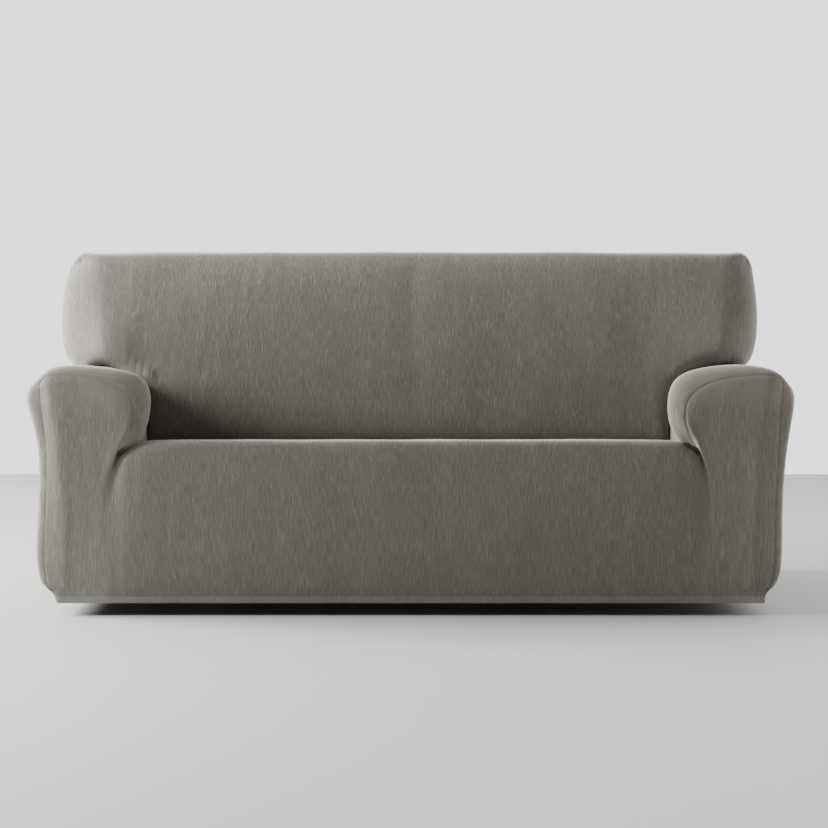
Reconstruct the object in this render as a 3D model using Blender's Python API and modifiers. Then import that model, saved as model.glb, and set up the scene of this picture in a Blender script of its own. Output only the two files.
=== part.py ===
"""A fitted stretch cover for a three-seat sofa, as five cut panels of cloth that hold the sofa's shape.

Metres, +X across the sofa to the right as seen from the front, +Y to the rear, +Z up. The origin is under
the cloth, in the middle of the top of the sofa's back, which carries the cover. Depths are measured from the
front and heights from the floor, and `place` turns them into this frame. Left and right are as seen from the
front.
"""

import math
from collections import namedtuple

import bmesh
import bpy
from mathutils import Matrix, Vector

# The sofa under the cloth
FLOOR_BELOW_TOP = 0.9555
TOP_DEPTH = 0.795
HEM_HEIGHT = 0.033

# The cloth
CLOTH = 0.002
CLOTH_COLOR = (0.274, 0.254, 0.214, 1.0)
CLOTH_ROUGHNESS = 0.95
SEAM_GAP = 0.0003
SHARP_ANGLE = math.radians(40.0)

# How the coarse cage becomes the smooth cloth. A tucked line keeps a full crease.
SMOOTHING_LEVEL = 1
SMOOTHING_PASSES = 3
CREASE_TUCKED = 1.0

# Where two seams meet at a fold, a vertex draws back at most so far as if they were this straight.
LEAST_SEAM_SPREAD = 0.5

PANELS = ("seat_and_front", "left_arm", "right_arm", "inside_back", "outside_back")
SEAT_AND_FRONT, LEFT_ARM, RIGHT_ARM, INSIDE_BACK, OUTSIDE_BACK = range(len(PANELS))

# Columns of the cage over one arm, from its outer corner to the notch beside the seat.
# hem_x: at the front hem. bend: how late the column turns to its seam point. seam: on the arm's front seam.
# roll: on the roll just behind that seam. foot: where the column meets the back. top_x: at the back's top.
ArmColumn = namedtuple("ArmColumn", "hem_x bend seam_x seam_h roll_x roll_h foot_x foot_h top_x")
LEFT_COLUMNS = (
    ArmColumn(0.924, 1.0, 0.967, 0.608, 0.985, 0.606, 0.948, 0.612, 0.980),
    ArmColumn(0.908, 2.0, 0.945, 0.624, 0.945, 0.643, 0.922, 0.622, 0.944),
    ArmColumn(0.890, 2.0, 0.880, 0.627, 0.880, 0.652, 0.885, 0.622, 0.882),
    ArmColumn(0.870, 2.5, 0.815, 0.617, 0.795, 0.645, 0.845, 0.613, 0.793),
    ArmColumn(0.850, 3.0, 0.750, 0.586, 0.706, 0.619, 0.800, 0.592, 0.724),
    ArmColumn(0.830, 4.0, 0.723, 0.532, 0.684, 0.555, 0.771, 0.548, 0.655),
    ArmColumn(0.810, 5.0, 0.740, 0.465, 0.696, 0.488, 0.768, 0.475, 0.586),
    ArmColumn(0.778, 8.0, 0.768, 0.418, 0.720, 0.447, 0.766, 0.406, 0.500),
)
RIGHT_COLUMNS = (
    ArmColumn(0.912, 1.0, 0.969, 0.612, 0.981, 0.606, 0.948, 0.612, 0.985),
    ArmColumn(0.896, 2.0, 0.940, 0.626, 0.948, 0.638, 0.922, 0.622, 0.941),
    ArmColumn(0.878, 2.0, 0.880, 0.626, 0.880, 0.652, 0.885, 0.622, 0.878),
    ArmColumn(0.856, 2.5, 0.802, 0.614, 0.788, 0.648, 0.838, 0.616, 0.790),
    ArmColumn(0.834, 3.0, 0.738, 0.582, 0.700, 0.622, 0.786, 0.592, 0.721),
    ArmColumn(0.812, 4.0, 0.714, 0.530, 0.672, 0.560, 0.756, 0.546, 0.652),
    ArmColumn(0.790, 5.0, 0.726, 0.472, 0.679, 0.492, 0.752, 0.475, 0.584),
    ArmColumn(0.772, 8.0, 0.750, 0.424, 0.706, 0.449, 0.750, 0.406, 0.500),
)
ARM_STEPS = len(LEFT_COLUMNS) - 1

# Columns over one half of the seat, from beside the notch to the middle.
SeatColumn = namedtuple("SeatColumn", "hem_x bend seam_x seam_h roll_x foot_x top_x sag")
SEAT_COLUMNS = (
    SeatColumn(0.700, 3.0, 0.716, 0.432, 0.676, 0.700, 0.425, 0.002),
    SeatColumn(0.560, 1.0, 0.570, 0.447, 0.560, 0.570, 0.325, 0.000),
    SeatColumn(0.290, 1.0, 0.290, 0.449, 0.290, 0.290, 0.170, 0.000),
    SeatColumn(0.000, 1.0, 0.000, 0.449, 0.000, 0.000, 0.000, 0.000),
)

# Rows up the front, from the hem to the front edge: share of the height, and depth on the seat's front.
FrontRow = namedtuple("FrontRow", "share depth")
FRONT_ROWS = (
    FrontRow(0.00, 0.014),
    FrontRow(0.05, 0.010),
    FrontRow(0.13, 0.006),
    FrontRow(0.40, 0.000),
    FrontRow(0.70, -0.004),
    FrontRow(0.90, -0.002),
    FrontRow(1.00, 0.004),
)
ARM_FRONT_DEPTH = 0.002
ARM_FRONT_EDGE_DEPTH = 0.012
NOTCH_DEPTHS = (0.0, 0.0, 0.0, 0.0, 0.001, 0.006, 0.018)

# Rows over the seat and arms, from the front edge to the foot of the back.
SeatRow = namedtuple("SeatRow", "depth along seat_h")
SEAT_ROWS = (
    SeatRow(0.026, 0.00, 0.4575),
    SeatRow(0.100, 0.15, 0.4515),
    SeatRow(0.330, 0.50, 0.434),
    SeatRow(0.575, 0.92, 0.417),
    SeatRow(0.640, 1.00, 0.402),
)

# How far the foot of the back is tucked in under the wings, and each column's share in the tucks.
FOOT_TUCK = 0.030
TUCK_SHARES = (0.4, 1.0, 1.0, 0.5)

# The crease between an arm and the seat: how far it sinks below the seat, and how soon behind the front edge.
SEAT_CREASE_DROP = 0.010
SEAT_CREASE_HASTE = 5

# Rows up the front of the back, from its foot to its top edge: share of its height, half width of each wing,
# and how far the wings are tucked in there. They stand out where it is negative.
BackRow = namedtuple("BackRow", "share left_x right_x tuck")
BACK_ROWS = (
    BackRow(0.13, 1.006, 0.990, -0.006),
    BackRow(0.47, 1.018, 1.006, -0.004),
    BackRow(0.83, 1.010, 1.000, 0.000),
    BackRow(1.00, 0.986, 0.990, 0.000),
)
BACK_EDGE_H = 0.938
BACK_CROWN = 0.010

# How deep the front of the back lies at each height.
BackLine = namedtuple("BackLine", "height depth")
BACK_LINES = (
    BackLine(0.402, 0.630),
    BackLine(0.654, 0.630),
    BackLine(0.762, 0.640),
    BackLine(0.847, 0.656),
    BackLine(0.938, 0.695),
)

# How far the wings turn back at their outermost columns, and how much less so at their tops.
LEFT_SETBACKS = (0.078, 0.019, 0.004)
RIGHT_SETBACKS = (0.050, 0.007, 0.000)
WING_TOP_EASE = 0.4
WING_EDGE_DROP = 0.010
TOP_EDGE_DROP = 0.003
REAR_BULGE = 0.006

# Rows over the top of the back, ending at the rear seam.
TopRow = namedtuple("TopRow", "depth height drop")
TOP_ROWS = (
    TopRow(0.738, 0.957, 0.009),
    TopRow(0.850, 0.955, 0.009),
    TopRow(0.893, 0.936, 0.004),
)

# Rows of the outer sides below the arms' tops, from the hem up: height, half width of each side, and how much
# narrower the cover is along its front seam and its rear seam.
SideRow = namedtuple("SideRow", "height left_x right_x front_in rear_in")
SIDE_ROWS = (
    SideRow(0.033, 0.927, 0.921, 0.004, 0.006),
    SideRow(0.064, 0.942, 0.932, 0.010, 0.010),
    SideRow(0.110, 0.976, 0.964, 0.020, 0.016),
    SideRow(0.266, 0.977, 0.969, 0.022, 0.018),
    SideRow(0.440, 0.976, 0.982, 0.024, 0.018),
    SideRow(0.562, 1.006, 1.001, 0.041, 0.028),
)
WAIST_X = 0.945
WAIST_H = 0.609
SIDE_BULGE = 0.006


def blend(start, end, share):
    """The value that lies the given share of the way from start to end."""
    return start + (end - start) * share


def place(x, depth, height):
    """A point in the cover's frame from its half-width position, depth and height above the floor."""
    return Vector((x, depth - TOP_DEPTH, height - FLOOR_BELOW_TOP))


def side_width(row, side):
    """Half the cover's width at a row, on the given side."""
    return row.left_x if side < 0 else row.right_x


def front_points(column, index, side):
    """Points up the front, from the hem to the front edge."""
    points = []
    for level, (row, notch) in enumerate(zip(FRONT_ROWS, NOTCH_DEPTHS)):
        x = blend(column.hem_x, column.seam_x, row.share**column.bend)
        depth = row.depth
        if index <= ARM_STEPS:
            depth = max(depth, ARM_FRONT_DEPTH)
        if index == 0:
            depth = max(depth, ARM_FRONT_EDGE_DEPTH)
            if level < len(SIDE_ROWS):
                x = side_width(SIDE_ROWS[level], side) - SIDE_ROWS[level].front_in
        if index == ARM_STEPS:
            depth += notch
        points.append(place(x, depth, blend(HEM_HEIGHT, column.seam_h, row.share)))
    return points


def tuck_share(index):
    """A column's share in the tucks under the wings."""
    return TUCK_SHARES[index] if index < len(TUCK_SHARES) else 0.0


def seat_points(column, index):
    """Points over the arm or seat, from behind the front edge to the foot of the back."""
    points = []
    for row in SEAT_ROWS:
        if index == ARM_STEPS:
            sunk = min(1.0, SEAT_CREASE_HASTE * row.along)
            height = blend(column.roll_h, row.seat_h - SEAT_CREASE_DROP, sunk)
        elif index < ARM_STEPS:
            height = blend(column.roll_h, column.foot_h, row.along)
        else:
            height = row.seat_h - column.sag
        tuck = FOOT_TUCK * tuck_share(index) if row is SEAT_ROWS[-1] else 0.0
        points.append(place(blend(column.roll_x, column.foot_x, row.along), row.depth + tuck, height))
    return points


def back_depth(height):
    """How deep the front of the back lies at a height."""
    low, high = next(pair for pair in zip(BACK_LINES, BACK_LINES[1:]) if height <= pair[1].height)
    return blend(low.depth, high.depth, (height - low.height) / (high.height - low.height))


def back_points(column, index, side, edge_x):
    """Points up the front of the back and over its top to the rear seam."""
    foot_h = column.foot_h if index <= ARM_STEPS else SEAT_ROWS[-1].seat_h
    middle = 1.0 - (column.top_x / edge_x) ** 2
    edge_drop = WING_EDGE_DROP if index == 0 else 0.0
    setbacks = LEFT_SETBACKS if side < 0 else RIGHT_SETBACKS
    setback = setbacks[index] if index < len(setbacks) else 0.0
    points = []
    for row in BACK_ROWS:
        x = side_width(row, side) if index == 0 else blend(column.foot_x, column.top_x, row.share)
        height = blend(foot_h, BACK_EDGE_H - edge_drop, row.share)
        depth = back_depth(height) + row.tuck * tuck_share(index)
        depth += setback * (1.0 - WING_TOP_EASE * row.share)
        points.append(place(x, depth - BACK_CROWN * middle * (1.0 - row.share), height))
    for row in TOP_ROWS:
        drop = row.drop if index == 0 else TOP_EDGE_DROP * (1.0 - middle)
        points.append(place(column.top_x, row.depth, row.height - drop))
    return points


def rear_points(column, side, edge_x):
    """Points down the rear, from below its seam to the hem."""
    outline = [(row.height, side_width(row, side) - row.rear_in) for row in SIDE_ROWS]
    outline.append((WAIST_H, WAIST_X))
    outline += [(blend(WAIST_H, BACK_EDGE_H, row.share), side_width(row, side)) for row in BACK_ROWS[:-1]]
    depth = TOP_ROWS[-1].depth + REAR_BULGE
    return [place(x * column.top_x / edge_x, depth, height) for height, x in reversed(outline)]


def path_points(column, index, side):
    """One column of the cage as a path: up the front, over the seat, up and over the back, down the rear."""
    edge_x = (LEFT_COLUMNS if side < 0 else RIGHT_COLUMNS)[0].top_x
    path = front_points(column, index, side)
    path += seat_points(column, index)
    path += back_points(column, index, side, edge_x)
    path += rear_points(column, side, edge_x)
    return [Vector((point.x * side, point.y, point.z)) for point in path]


# Steps along the path to the front edge, the back's foot, its top edge, the rear seam and the waist below it
FRONT_END = len(FRONT_ROWS) - 1
FOOT = FRONT_END + len(SEAT_ROWS)
TOP_EDGE = FOOT + len(BACK_ROWS)
REAR_SEAM = TOP_EDGE + len(TOP_ROWS)
REAR_WAIST = REAR_SEAM + len(BACK_ROWS)
PATH_END = REAR_WAIST + len(SIDE_ROWS)


def cage_columns():
    """Every column of the cage from -X to +X, as a list of paths."""
    left = [path_points(column, index, -1) for index, column in enumerate(LEFT_COLUMNS + SEAT_COLUMNS)]
    right = [path_points(column, index, 1) for index, column in enumerate(RIGHT_COLUMNS + SEAT_COLUMNS[:-1])]
    return left + right[::-1]


def side_grid(mesh, edge, side):
    """Vertices of one outer side, by level from the hem up and by step from front to rear."""
    depths = [row.depth for row in SEAT_ROWS + TOP_ROWS[:-1]]
    foot, last = len(SEAT_ROWS), len(depths) + 1
    grid = {}
    for level in range(FRONT_END + 1):
        grid[level, 0] = edge[level]
        grid[level, last] = edge[PATH_END - level]
    for step in range(1, foot + 1):
        grid[FRONT_END, step] = edge[FRONT_END + step]
    for step in range(foot + 1, last):
        grid[FRONT_END, step] = mesh.verts.new(place(WAIST_X * side, depths[step - 1], WAIST_H))
    for level, row in enumerate(SIDE_ROWS):
        for step, depth in enumerate(depths, start=1):
            grid[level, step] = mesh.verts.new(place(side_width(row, side) * side, depth, row.height))
    for rise in range(1, len(BACK_ROWS) + 1):
        grid[FRONT_END + rise, foot] = edge[FOOT + rise]
        grid[FRONT_END + rise, last] = edge[REAR_WAIST - rise]
    for rise, row in enumerate(BACK_ROWS[:-1], start=1):
        level = FRONT_END + rise
        for step in range(foot + 1, last):
            point = grid[level, foot].co.lerp(grid[level, last].co, (step - foot) / (last - foot))
            point.x = side * (side_width(row, side) + SIDE_BULGE)
            grid[level, step] = mesh.verts.new(point)
    for step in range(foot + 1, last):
        grid[FRONT_END + len(BACK_ROWS), step] = edge[TOP_EDGE + step - foot]
    return grid


def add_face(mesh, corners, panel):
    """One quad of the cage, marked with the panel that it belongs to."""
    face = mesh.faces.new(corners)
    face.material_index = panel
    face.smooth = True


def panel_of(step, column, column_count):
    """The panel that a quad of the main grid belongs to."""
    if step < FRONT_END:
        return SEAT_AND_FRONT
    if step < FOOT:
        if column < ARM_STEPS:
            return LEFT_ARM
        if column >= column_count - 1 - ARM_STEPS:
            return RIGHT_ARM
        return SEAT_AND_FRONT
    return INSIDE_BACK if step < REAR_SEAM else OUTSIDE_BACK


def add_side(mesh, edge, side, panel):
    """Close one outer side of the cage; returns the line on which the wing meets the arm."""
    grid = side_grid(mesh, edge, side)
    for level, step in grid:
        corners = [grid.get((level + up, step + back)) for up, back in ((0, 0), (0, 1), (1, 1), (1, 0))]
        if None in corners:
            continue
        if side < 0:
            corners.reverse()
        add_face(mesh, corners, panel if level < FRONT_END else INSIDE_BACK)
    return [grid[key] for key in sorted(grid) if key[0] == FRONT_END and key[1] >= len(SEAT_ROWS)]


def build_cage():
    """The cover's coarse cage: the main grid from hem to hem, closed by the two outer sides."""
    mesh = bmesh.new()
    crease = mesh.edges.layers.float.new("crease_edge")
    paths = [[mesh.verts.new(point) for point in path] for path in cage_columns()]
    for column, (near, far) in enumerate(zip(paths, paths[1:])):
        for step in range(PATH_END):
            corners = (near[step], far[step], far[step + 1], near[step + 1])
            add_face(mesh, corners, panel_of(step, column, len(paths)))
    tucked = [
        [path[FOOT] for path in paths],
        paths[ARM_STEPS][FRONT_END : FOOT + 1],
        paths[-1 - ARM_STEPS][FRONT_END : FOOT + 1],
        add_side(mesh, paths[0], -1, LEFT_ARM),
        add_side(mesh, paths[-1], 1, RIGHT_ARM),
    ]
    for line in tucked:
        for start, end in zip(line, line[1:]):
            mesh.edges.get((start, end))[crease] = CREASE_TUCKED
    return mesh


def smooth_surface(cage):
    """The cage subdivided, pushed out until the smooth cloth passes through the cage's first points."""
    data = bpy.data.meshes.new("cover_cage")
    cage.to_mesh(data)
    cage.free()
    guide = bpy.data.objects.new("cover_cage", data)
    guide.hide_render = True
    guide.display_type = "WIRE"
    guides.objects.link(guide)
    subdivision = guide.modifiers.new("Smoothing", "SUBSURF")
    subdivision.levels = SMOOTHING_LEVEL
    subdivision.render_levels = SMOOTHING_LEVEL
    wanted = [vertex.co.copy() for vertex in data.vertices]
    for _ in range(SMOOTHING_PASSES):
        smooth = bpy.data.meshes.new_from_object(guide.evaluated_get(bpy.context.evaluated_depsgraph_get()))
        for vertex, target, reached in zip(data.vertices, wanted, smooth.vertices):
            vertex.co += target - reached.co
        bpy.data.meshes.remove(smooth)
        data.update()
    return bpy.data.meshes.new_from_object(guide.evaluated_get(bpy.context.evaluated_depsgraph_get()))


def mitre_normal(vertex):
    """The outward direction at a vertex that leans equally to every panel meeting there."""
    leans = {}
    for face in vertex.link_faces:
        leans[face.material_index] = leans.get(face.material_index, Vector()) + face.normal
    directions = [lean.normalized() for lean in leans.values()]
    if len(directions) == 3:
        return (Matrix(directions).inverted() @ Vector((1.0, 1.0, 1.0))).normalized()
    if len(directions) == 2:
        return (directions[0] + directions[1]).normalized()
    return vertex.normal.copy()


def seam_shift(vertex, seam, normal):
    """How far a vertex on a seam draws back into its panel, to leave half of the gap on every side."""
    inward = []
    for edge in vertex.link_edges:
        if edge not in seam:
            continue
        start, end = edge.verts
        away = (end.co - start.co).cross(normal).normalized()
        into_panel = edge.link_faces[0].calc_center_median() - (start.co + end.co) / 2
        inward.append(away if away.dot(into_panel) > 0.0 else -away)
    total = sum(inward, Vector())
    spread = total.length_squared / len(inward)
    return total * SEAM_GAP / 2 / max(spread, LEAST_SEAM_SPREAD)


def cloth_panel(name, surface, panel, material):
    """One panel of the surface as closed cloth: its outer face, its inner face and the cut edges."""
    mesh = bmesh.new()
    mesh.from_mesh(surface)
    mesh.normal_update()
    normals = {vertex: mitre_normal(vertex) for vertex in mesh.verts}
    hem = {edge for edge in mesh.edges if edge.is_boundary}
    others = [face for face in mesh.faces if face.material_index != panel]
    bmesh.ops.delete(mesh, geom=others, context="FACES")
    outer = list(mesh.faces)
    rim = [edge for edge in mesh.edges if edge.is_boundary]
    seam = {edge for edge in rim if edge not in hem}
    shifts = {vertex: seam_shift(vertex, seam, normals[vertex]) for edge in seam for vertex in edge.verts}
    for vertex, shift in shifts.items():
        vertex.co += shift
    inner = {vertex: mesh.verts.new(vertex.co - normals[vertex] * CLOTH) for vertex in list(mesh.verts)}
    for face in outer:
        mesh.faces.new([inner[vertex] for vertex in reversed(face.verts)])
    for edge in rim:
        loop = edge.link_loops[0]
        start, end = loop.vert, loop.link_loop_next.vert
        if start.index < end.index:
            mesh.faces.new((end, start, inner[end]))
            mesh.faces.new((start, inner[start], inner[end]))
        else:
            mesh.faces.new((end, start, inner[start]))
            mesh.faces.new((end, inner[start], inner[end]))
    for face in mesh.faces:
        face.smooth = True
        face.material_index = 0
    data = bpy.data.meshes.new(name)
    mesh.to_mesh(data)
    mesh.free()
    data.set_sharp_from_angle(angle=SHARP_ANGLE)
    data.materials.append(material)
    parts.objects.link(bpy.data.objects.new(name, data))


def cloth_material(name):
    """Matt warm grey stretch cloth."""
    material = bpy.data.materials.new(name)
    material.use_nodes = True
    shader = material.node_tree.nodes["Principled BSDF"]
    shader.inputs["Base Color"].default_value = CLOTH_COLOR
    shader.inputs["Roughness"].default_value = CLOTH_ROUGHNESS
    shader.inputs["Metallic"].default_value = 0.0
    return material


def collection(name):
    """A new collection in the scene."""
    group = bpy.data.collections.new(name)
    bpy.context.scene.collection.children.link(group)
    return group


for old in list(bpy.data.objects):
    bpy.data.objects.remove(old)
parts = collection("sofa_slipcover")
guides = collection("guides")
cover = smooth_surface(build_cage())
for number, panel_name in enumerate(PANELS):
    cloth_panel(panel_name, cover, number, cloth_material(f"{panel_name}_cloth"))
bpy.data.meshes.remove(cover)
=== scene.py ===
"""A fitted stretch cover for a three-seat sofa: five cut panels of crinkled knit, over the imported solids.

Metres, +X across the sofa to the right as seen from the front, +Y to the rear, +Z up. The origin is under
the cloth, in the middle of the top of the sofa's back. Depths are measured from the front and heights from
the floor, and `place` turns them into this frame. Left and right are as seen from the front.
"""

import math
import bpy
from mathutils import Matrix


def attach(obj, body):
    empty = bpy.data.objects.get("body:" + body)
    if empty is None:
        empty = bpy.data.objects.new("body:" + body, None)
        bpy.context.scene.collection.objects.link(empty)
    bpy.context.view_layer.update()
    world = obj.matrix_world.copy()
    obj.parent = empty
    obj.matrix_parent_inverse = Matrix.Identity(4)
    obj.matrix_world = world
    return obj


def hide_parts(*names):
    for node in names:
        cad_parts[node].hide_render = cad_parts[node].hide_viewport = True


bl_info = {
    "name": "Sofa slipcover",
    "version": (1, 0, 0),
    "blender": (4, 5, 0),
    "location": "View3D > Sidebar > Slipcover",
    "description": "Makes a fitted stretch cover for a three-seat sofa, panel by panel",
    "category": "Add Mesh",
}

from collections import namedtuple

import bmesh
import bpy
import numpy as np
from mathutils import Vector, noise
from mathutils.kdtree import KDTree

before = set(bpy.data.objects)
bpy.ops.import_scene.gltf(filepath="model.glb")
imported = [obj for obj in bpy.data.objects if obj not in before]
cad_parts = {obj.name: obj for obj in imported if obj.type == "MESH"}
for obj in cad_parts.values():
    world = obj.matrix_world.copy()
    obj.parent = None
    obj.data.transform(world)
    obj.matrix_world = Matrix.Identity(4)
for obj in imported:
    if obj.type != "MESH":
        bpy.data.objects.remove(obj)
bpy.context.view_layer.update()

# The sofa under the cloth: its height, how far behind its front the middle of its top lies, and the height
# at which the cloth ends.
FLOOR_BELOW_TOP = 0.9555
TOP_DEPTH = 0.795
HEM_HEIGHT = 0.033

PANELS = ("seat_and_front", "left_arm", "right_arm", "inside_back", "outside_back")
SEAT_AND_FRONT, LEFT_ARM, RIGHT_ARM, INSIDE_BACK, OUTSIDE_BACK = range(len(PANELS))

# How the coarse cage becomes the smooth cloth. A tucked line keeps a full crease.
FITTING_PASSES = 3
CREASE_TUCKED = 1.0

# Columns of the cage over one arm, from its outer corner to the notch beside the seat.
# hem_x: at the front hem. bend: how late the column turns to its seam point. seam: on the arm's front seam.
# roll: on the roll just behind that seam. foot: where the column meets the back. top_x: at the back's top.
ArmColumn = namedtuple("ArmColumn", "hem_x bend seam_x seam_h roll_x roll_h foot_x foot_h top_x")
LEFT_COLUMNS = (
    ArmColumn(0.924, 1.0, 0.967, 0.608, 0.985, 0.606, 0.948, 0.612, 0.980),
    ArmColumn(0.908, 2.0, 0.945, 0.624, 0.945, 0.643, 0.922, 0.622, 0.944),
    ArmColumn(0.890, 2.0, 0.880, 0.627, 0.880, 0.652, 0.885, 0.622, 0.882),
    ArmColumn(0.870, 2.5, 0.815, 0.617, 0.795, 0.645, 0.845, 0.613, 0.793),
    ArmColumn(0.850, 3.0, 0.750, 0.586, 0.706, 0.619, 0.800, 0.592, 0.724),
    ArmColumn(0.830, 4.0, 0.723, 0.532, 0.684, 0.555, 0.771, 0.548, 0.655),
    ArmColumn(0.810, 5.0, 0.740, 0.465, 0.696, 0.488, 0.768, 0.475, 0.586),
    ArmColumn(0.778, 8.0, 0.768, 0.418, 0.720, 0.447, 0.766, 0.406, 0.500),
)
RIGHT_COLUMNS = (
    ArmColumn(0.912, 1.0, 0.969, 0.612, 0.981, 0.606, 0.948, 0.612, 0.985),
    ArmColumn(0.896, 2.0, 0.940, 0.626, 0.948, 0.638, 0.922, 0.622, 0.941),
    ArmColumn(0.878, 2.0, 0.880, 0.626, 0.880, 0.652, 0.885, 0.622, 0.878),
    ArmColumn(0.856, 2.5, 0.802, 0.614, 0.788, 0.648, 0.838, 0.616, 0.790),
    ArmColumn(0.834, 3.0, 0.738, 0.582, 0.700, 0.622, 0.786, 0.592, 0.721),
    ArmColumn(0.812, 4.0, 0.714, 0.530, 0.672, 0.560, 0.756, 0.546, 0.652),
    ArmColumn(0.790, 5.0, 0.726, 0.472, 0.679, 0.492, 0.752, 0.475, 0.584),
    ArmColumn(0.772, 8.0, 0.750, 0.424, 0.706, 0.449, 0.750, 0.406, 0.500),
)
ARM_STEPS = len(LEFT_COLUMNS) - 1

# Columns over one half of the seat, from beside the notch to the middle.
SeatColumn = namedtuple("SeatColumn", "hem_x bend seam_x seam_h roll_x foot_x top_x sag")
SEAT_COLUMNS = (
    SeatColumn(0.700, 3.0, 0.716, 0.432, 0.676, 0.700, 0.425, 0.002),
    SeatColumn(0.560, 1.0, 0.570, 0.447, 0.560, 0.570, 0.325, 0.000),
    SeatColumn(0.290, 1.0, 0.290, 0.449, 0.290, 0.290, 0.170, 0.000),
    SeatColumn(0.000, 1.0, 0.000, 0.449, 0.000, 0.000, 0.000, 0.000),
)

# Rows up the front, from the hem to the front edge: share of the height, and depth on the seat's front.
FrontRow = namedtuple("FrontRow", "share depth")
FRONT_ROWS = (
    FrontRow(0.00, 0.014),
    FrontRow(0.05, 0.010),
    FrontRow(0.13, 0.006),
    FrontRow(0.40, 0.000),
    FrontRow(0.70, -0.004),
    FrontRow(0.90, -0.002),
    FrontRow(1.00, 0.004),
)

# Least depth of the arms' fronts and of their outer corners, and how far each row is set back at the notch.
ARM_FRONT_DEPTH = 0.002
ARM_FRONT_EDGE_DEPTH = 0.012
NOTCH_DEPTHS = (0.0, 0.0, 0.0, 0.0, 0.001, 0.006, 0.018)

# Rows over the seat and arms, from the front edge to the foot of the back.
SeatRow = namedtuple("SeatRow", "depth along seat_h")
SEAT_ROWS = (
    SeatRow(0.026, 0.00, 0.4575),
    SeatRow(0.100, 0.15, 0.4515),
    SeatRow(0.330, 0.50, 0.434),
    SeatRow(0.575, 0.92, 0.417),
    SeatRow(0.640, 1.00, 0.402),
)

# How far the foot of the back is tucked in under the wings, and each column's share in the tucks.
FOOT_TUCK = 0.030
TUCK_SHARES = (0.4, 1.0, 1.0, 0.5)

# The crease between an arm and the seat: how far it sinks below the seat, and how soon behind the front.
SEAT_CREASE_DROP = 0.010
SEAT_CREASE_HASTE = 5

# Rows up the front of the back, from its foot to its top edge: share of its height, half width of each
# wing, and how far the wings are tucked in there. They stand out where it is negative.
BackRow = namedtuple("BackRow", "share left_x right_x tuck")
BACK_ROWS = (
    BackRow(0.13, 1.006, 0.990, -0.006),
    BackRow(0.47, 1.018, 1.006, -0.004),
    BackRow(0.83, 1.010, 1.000, 0.000),
    BackRow(1.00, 0.986, 0.990, 0.000),
)

# Height of the back's top edge, and how far the middle of the back stands forward at its foot.
BACK_EDGE_H = 0.938
BACK_CROWN = 0.010

# How deep the front of the back lies at each height.
BackLine = namedtuple("BackLine", "height depth")
BACK_LINES = (
    BackLine(0.402, 0.630),
    BackLine(0.654, 0.630),
    BackLine(0.762, 0.640),
    BackLine(0.847, 0.656),
    BackLine(0.938, 0.695),
)

# How far the wings turn back at their outermost columns, and how much less at their tops. Then how far the
# top edge drops at the wings' corners and the top towards its sides, and how far the rear bulges.
LEFT_SETBACKS = (0.078, 0.019, 0.004)
RIGHT_SETBACKS = (0.050, 0.007, 0.000)
WING_TOP_EASE = 0.4
WING_EDGE_DROP = 0.010
TOP_EDGE_DROP = 0.003
REAR_BULGE = 0.006

# Rows over the top of the back, ending at the rear seam.
TopRow = namedtuple("TopRow", "depth height drop")
TOP_ROWS = (
    TopRow(0.738, 0.957, 0.009),
    TopRow(0.850, 0.955, 0.009),
    TopRow(0.893, 0.936, 0.004),
)

# Rows of the outer sides below the arms' tops, from the hem up: height, half width of each side, and how
# much narrower the cover is along its front seam and its rear seam.
SideRow = namedtuple("SideRow", "height left_x right_x front_in rear_in")
SIDE_ROWS = (
    SideRow(0.033, 0.927, 0.921, 0.004, 0.006),
    SideRow(0.064, 0.942, 0.932, 0.010, 0.010),
    SideRow(0.110, 0.976, 0.964, 0.020, 0.016),
    SideRow(0.266, 0.977, 0.969, 0.022, 0.018),
    SideRow(0.440, 0.976, 0.982, 0.024, 0.018),
    SideRow(0.562, 1.006, 1.001, 0.041, 0.028),
)

# How far the wings' sides bulge, and half width and height of the waist below them.
SIDE_BULGE = 0.006
WAIST_X = 0.945
WAIST_H = 0.609

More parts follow.
